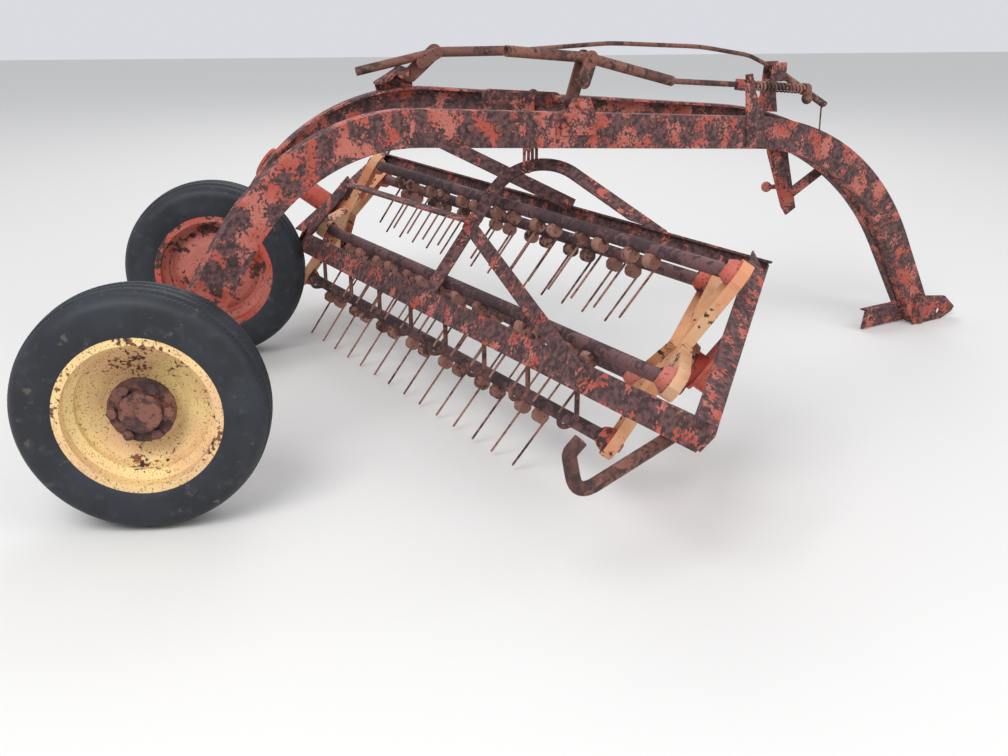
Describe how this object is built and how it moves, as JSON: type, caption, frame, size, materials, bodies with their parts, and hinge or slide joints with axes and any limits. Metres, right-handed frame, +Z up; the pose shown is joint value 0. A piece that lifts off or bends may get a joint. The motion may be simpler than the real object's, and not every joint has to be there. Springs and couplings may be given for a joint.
{
  "type": "side delivery rake",
  "caption": "Trailed side delivery hay rake: two bowed channel beams on a pair of wheels, with a slanted reel of spring-toothed bars hung under them in an angle-iron basket",
  "frame": {"origin": "centre of the pin hole in the hitch plate at the nose", "axes": "+X points forward along the line of travel, +Y to the left, +Z up; the axle lies along Y, 2.8 m behind the origin"},
  "size_m": [3.2419, 2.755, 1.1466],
  "materials": {
    "frame_paint": "worn red paint over rust",
    "basket_paint": "worn red paint over dark rust",
    "rusty_steel": "brown rust",
    "reel_red": "chalky red paint",
    "tyre": "weathered black rubber",
    "wheel_cream": "cream paint with rust",
    "head_cream": "cream paint with rust",
    "bar_rust": "dark rusted paint"
  },
  "bodies": {
    "frame": {"beam_right": "frame_paint", "beam_left": "frame_paint", "axle": "rusty_steel", "hitch_plate": "frame_paint", "nose_bracket": "frame_paint", "stand_post": "frame_paint", "pivot_plate": "frame_paint", "lift_arm": "frame_paint", "strap_right": "frame_paint", "strap_left": "frame_paint", "lift_lever": "rusty_steel", "push_tube": "rusty_steel", "upright_right": "frame_paint", "spring_right": "rusty_steel", "push_knob": "rusty_steel", "saddle_bracket": "frame_paint", "left_lever": "rusty_steel", "trip_bar": "rusty_steel", "front_bracket": "frame_paint", "spring_left": "rusty_steel", "spring_hook": "rusty_steel"},
    "wheel_right": {"tyre_right": "tyre", "rim_right": "wheel_cream", "hub_right": "wheel_cream"},
    "wheel_left": {"tyre_left": "tyre", "rim_left": "reel_red", "hub_left": "wheel_cream"},
    "basket": {"stripper_rail": "basket_paint", "front_rail": "basket_paint", "strippers": "rusty_steel", "pipe_hook": "rusty_steel", "end_member_right": "basket_paint", "end_member_left": "basket_paint", "bearing_right": "reel_red", "drive_housing": "reel_red", "bail": "basket_paint"},
    "reel_right": {"head_right": "head_cream"},
    "reel_left": {"head_left": "head_cream"},
    "bar_1": {"bar_1": "bar_rust"},
    "bar_2": {"bar_2": "bar_rust"},
    "bar_3": {"bar_3": "bar_rust"},
    "bar_4": {"bar_4": "bar_rust"},
    "bar_5": {"bar_5": "bar_rust"}
  },
  "joints": [
    {"name": "wheel_right_turn", "type": "hinge", "parent": "frame", "child": "wheel_right", "pos_m": [-2.83414, -1.42852, 0.282], "axis": [0, 1, 0], "continuous": true},
    {"name": "wheel_left_turn", "type": "hinge", "parent": "frame", "child": "wheel_left", "pos_m": [-2.83414, -0.09152, 0.282], "axis": [0, 1, 0], "continuous": true},
    {"name": "basket_lift", "type": "slide", "parent": "frame", "child": "basket", "axis": [0, 0, 1], "range_m": [0, 0.045]},
    {"name": "reel_turn", "type": "hinge", "parent": "basket", "child": "reel_right", "pos_m": [-1.49814, -1.46602, 0.394], "axis": [0.8049, -0.2501, -0.5382], "continuous": true},
    {"name": "reel_left_turn", "type": "hinge", "parent": "basket", "child": "reel_left", "pos_m": [-2.36134, 0.31564, 0.36255], "axis": [0.8049, -0.2501, -0.5382], "continuous": true},
    {"name": "bar_1_swing", "type": "hinge", "parent": "reel_right", "child": "bar_1", "pos_m": [-1.37689, -1.56769, 0.62257], "axis": [0.8049, -0.2501, -0.5382], "continuous": true},
    {"name": "bar_2_swing", "type": "hinge", "parent": "reel_right", "child": "bar_2", "pos_m": [-1.56707, -1.73446, 0.41564], "axis": [0.8049, -0.2501, -0.5382], "continuous": true},
    {"name": "bar_3_swing", "type": "hinge", "parent": "reel_right", "child": "bar_3", "pos_m": [-1.66199, -1.53025, 0.1788], "axis": [0.8049, -0.2501, -0.5382], "continuous": true},
    {"name": "bar_4_swing", "type": "hinge", "parent": "reel_right", "child": "bar_4", "pos_m": [-1.53047, -1.23727, 0.23936], "axis": [0.8049, -0.2501, -0.5382], "continuous": true},
    {"name": "bar_5_swing", "type": "hinge", "parent": "reel_right", "child": "bar_5", "pos_m": [-1.35427, -1.26041, 0.51362], "axis": [0.8049, -0.2501, -0.5382], "continuous": true}
  ],
  "couplings": [
    {"joint": "reel_left_turn", "follows": "reel_turn", "ratio": 1},
    {"joint": "bar_1_swing", "follows": "reel_turn", "ratio": -1},
    {"joint": "bar_2_swing", "follows": "reel_turn", "ratio": -1},
    {"joint": "bar_3_swing", "follows": "reel_turn", "ratio": -1},
    {"joint": "bar_4_swing", "follows": "reel_turn", "ratio": -1},
    {"joint": "bar_5_swing", "follows": "reel_turn", "ratio": -1}
  ]
}
